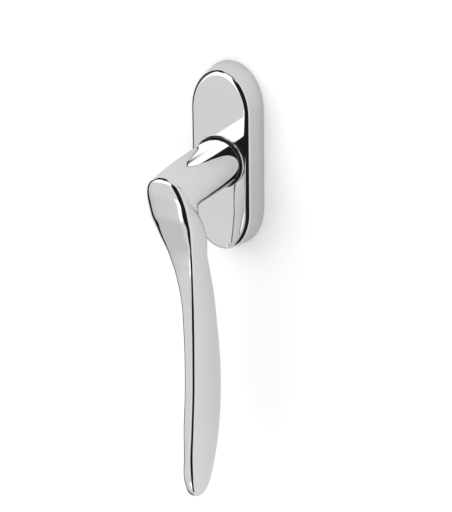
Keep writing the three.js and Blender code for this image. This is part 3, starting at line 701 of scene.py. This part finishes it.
def wallMaterial():
    # paint that is only there on its room side, so that the works can be looked at from behind; where the
    # metal mirrors it, it is painted darker, a painted shade on its reflection
    material, tree, shader, place = newMaterial("wall paint")
    cloud = addNoise(tree, place, studio["cloudScale"], 2)
    tone = studio["wallColour"]
    colour = mixColours(tree, mapRange(tree, cloud, 0, 1), (tone,) * 3, (tone - studio["wallClouding"],) * 3)
    # painted shade: glossy rays see the wall in a darker colour than the camera does
    path = tree.nodes.new("ShaderNodeLightPath")
    paintedMirrorShade = tree.nodes.new("ShaderNodeMix")
    paintedMirrorShade.data_type = "RGBA"
    paintedMirrorShade.inputs[7].default_value = (*(studio["wallPaintedMirrorShade"],) * 3, 1)
    tree.links.new(path.outputs["Is Glossy Ray"], paintedMirrorShade.inputs["Factor"])
    tree.links.new(colour, paintedMirrorShade.inputs[6])
    tree.links.new(paintedMirrorShade.outputs[2], shader.inputs["Base Color"])
    shader.inputs["Roughness"].default_value = studio["wallRoughness"]
    shader.inputs["Specular IOR Level"].default_value = studio["wallSpecular"]
    side = tree.nodes.new("ShaderNodeNewGeometry")
    clear = tree.nodes.new("ShaderNodeBsdfTransparent")
    choose = tree.nodes.new("ShaderNodeMixShader")
    output = next(node for node in tree.nodes if node.type == "OUTPUT_MATERIAL")
    tree.links.new(side.outputs["Backfacing"], choose.inputs["Fac"])
    tree.links.new(shader.outputs["BSDF"], choose.inputs[1])
    tree.links.new(clear.outputs["BSDF"], choose.inputs[2])
    tree.links.new(choose.outputs["Shader"], output.inputs["Surface"])
    return material


def stageSheet(name, corners, faces, material):
    data = bpy.data.meshes.new(name)
    data.from_pydata(corners, [], faces)
    data.materials.append(material)
    sheet = bpy.data.objects.new(name, data)
    bpy.context.scene.collection.objects.link(sheet)
    return sheet


def wallShape(low, y):
    # the wall has the opening that the rose covers, so light reaches the works from behind
    opening, reach = ovalRing(studio["wallOpening"], 0), studio["wallReach"]
    corners, faces = [], []
    for x, _, z in opening:
        steep = max(abs(x), abs(z))
        corners.append((x * mm, y, z * mm))
        corners.append((reach * x / steep, y, max(low, reach * z / steep)))
    total = len(opening)
    for i in range(total):
        j = (i + 1) % total
        faces.append((2 * i, 2 * i + 1, 2 * j + 1, 2 * j))
    return corners, faces


def makeStage():
    paint = wallMaterial()
    low, y = studio["floorHeight"], studio["wallGap"]
    corners, faces = wallShape(low, y)
    stageSheet("wall", corners, faces, paint)
    side, front = studio["floorReach"], studio["floorFront"]
    rectangle = [(-side, front, low), (side, front, low), (side, side, low), (-side, side, low)]
    floor = stageSheet("floor", rectangle, [(0, 1, 2, 3)], paint)
    floor.visible_glossy = False
    key = bpy.data.lights.new("key", "AREA")
    key.energy = studio["keyStrength"]
    key.size = studio["keySize"]
    lamp = bpy.data.objects.new("key", key)
    lamp.location = studio["keyPlace"]
    lamp.rotation_euler = (-Vector(studio["keyPlace"])).to_track_quat("-Z", "Y").to_euler()
    lamp.visible_glossy = False
    bpy.context.scene.collection.objects.link(lamp)


# what polished metal sees of the room, in degrees across and up from straight out of the wall;
# a card's sides are lines that face 0 right, 90 up, 180 left or 270 down, so many degrees out
roomCards = {
    "base": 0.71,
    "cards": [
        # paler right side, and shade low on the left
        {"tone": 0.80, "soft": 10, "sides": ((180, -75), (90, 60), (270, 70))},
        {"tone": 0.58, "soft": 12, "sides": ((0, -50), (90, -38), (270, 80))},
        # dark room in front, and below it
        {"tone": 0.012, "soft": 2, "sides": ((154.6, 5.5), (0, 60), (90, 40), (270, 38))},
        {"tone": 0.012, "soft": 2, "sides": ((180, 8), (0, 56), (90, -34), (270, 76))},
        # dark far left and dark overhead
        {"tone": 0.012, "soft": 3, "sides": ((180, 152), (339.2, -52.4), (90, 72), (270, 76))},
        {"tone": 0.012, "soft": 3, "sides": ((180, 152), (0, 62), (270, -49), (90, 68))},
        # big bright window, the dark beside it, and two low strips of light
        {"tone": 1.3, "soft": 1.5, "sides": ((180, 42), (334.6, -5.5), (270, 13), (90, 45))},
        {"tone": 0.012, "soft": 3, "sides": ((180, 60), (0, -18), (270, -33), (90, 62))},
        {"tone": 1.3, "soft": 2.5, "sides": ((180, 33), (0, -9), (90, -47.5), (270, 58))},
        {"tone": 0.78, "soft": 2, "sides": ((180, 22), (0, -9), (90, -13), (270, 40))},
    ],
}


def makeWorld():
    world = bpy.data.worlds.new("studio")
    world.use_nodes = True
    tree = world.node_tree
    tree.nodes.clear()
    output = tree.nodes.new("ShaderNodeOutputWorld")
    place = tree.nodes.new("ShaderNodeTexCoord")
    split = tree.nodes.new("ShaderNodeSeparateXYZ")
    tree.links.new(place.outputs["Generated"], split.inputs["Vector"])

    def sums(operation, a, b=None):
        node = tree.nodes.new("ShaderNodeMath")
        node.operation = operation
        for slot, value in enumerate((a, b)):
            if value is None:
                continue
            if isinstance(value, (int, float)):
                node.inputs[slot].default_value = value
            else:
                tree.links.new(value, node.inputs[slot])
        return node.outputs[0]

    def insideOf(across, height, heading, limit, softness):
        turn = math.radians(heading)
        sideways = sums("MULTIPLY", across, math.cos(turn))
        reach = sums("ADD", sideways, sums("MULTIPLY", height, math.sin(turn)))
        node = tree.nodes.new("ShaderNodeMapRange")
        node.interpolation_type = "SMOOTHSTEP"
        node.inputs["From Min"].default_value = limit - softness
        node.inputs["From Max"].default_value = limit + softness
        node.inputs["To Min"].default_value = 1
        node.inputs["To Max"].default_value = 0
        tree.links.new(reach, node.inputs["Value"])
        return node.outputs["Result"]

    toRoom = sums("MULTIPLY", split.outputs["Y"], -1)
    across = sums("MULTIPLY", sums("ARCTAN2", split.outputs["X"], toRoom), 180 / math.pi)
    height = sums("MULTIPLY", sums("ARCSINE", split.outputs["Z"]), 180 / math.pi)
    level = roomCards["base"]
    for card in roomCards["cards"]:
        inside = 1
        for heading, limit in card["sides"]:
            inside = sums("MULTIPLY", inside, insideOf(across, height, heading, limit, card["soft"]))
        level = sums("ADD", level, sums("MULTIPLY", inside, sums("SUBTRACT", card["tone"], level)))
    room = tree.nodes.new("ShaderNodeBackground")
    room.inputs["Color"].default_value = (1, 1, 1, 1)
    tree.links.new(level, room.inputs["Strength"])
    plain = tree.nodes.new("ShaderNodeBackground")
    plain.inputs["Color"].default_value = (1, 1, 1, 1)
    plain.inputs["Strength"].default_value = studio["domeStrength"]
    path = tree.nodes.new("ShaderNodeLightPath")
    choose = tree.nodes.new("ShaderNodeMixShader")
    tree.links.new(path.outputs["Is Glossy Ray"], choose.inputs["Fac"])
    tree.links.new(plain.outputs["Background"], choose.inputs[1])
    tree.links.new(room.outputs["Background"], choose.inputs[2])
    tree.links.new(choose.outputs["Shader"], output.inputs["Surface"])
    bpy.context.scene.world = world


makeStage()
makeWorld()
bpy.context.scene.view_settings.view_transform = "Standard"


# camera: a metre away, above and to the right; it aims this many degrees off the origin
viewpoint = {
    "azimuth": 29.0, "elevation": 20.8, "roll": -0.7, "distance": 1.0,
    "lens": 177.3, "sensor": 36, "nearest": 0.01, "aimLeft": 0.15676, "aimDown": 2.34550,
}


def makeCamera():
    azimuth, elevation = math.radians(viewpoint["azimuth"]), math.radians(viewpoint["elevation"])
    roll = math.radians(viewpoint["roll"])
    back = Vector((math.sin(azimuth) * math.cos(elevation), -math.cos(azimuth) * math.cos(elevation),
                   math.sin(elevation)))
    right = Vector((math.cos(azimuth), math.sin(azimuth), 0))
    up = back.cross(right)
    rolledRight = right * math.cos(roll) + up * math.sin(roll)
    rolledUp = up * math.cos(roll) - right * math.sin(roll)
    pose = Matrix((rolledRight, rolledUp, back)).transposed()
    pose = pose @ Matrix.Rotation(-math.radians(viewpoint["aimDown"]), 3, "X")
    pose = pose @ Matrix.Rotation(math.radians(viewpoint["aimLeft"]), 3, "Y")
    data = bpy.data.cameras.new("camera")
    data.lens = viewpoint["lens"]
    data.sensor_width = viewpoint["sensor"]
    data.clip_start = viewpoint["nearest"]
    camera = bpy.data.objects.new("camera", data)
    camera.matrix_world = Matrix.Translation(back * viewpoint["distance"]) @ pose.to_4x4()
    bpy.context.scene.collection.objects.link(camera)
    bpy.context.scene.camera = camera


makeCamera()
print("studio and camera ready")
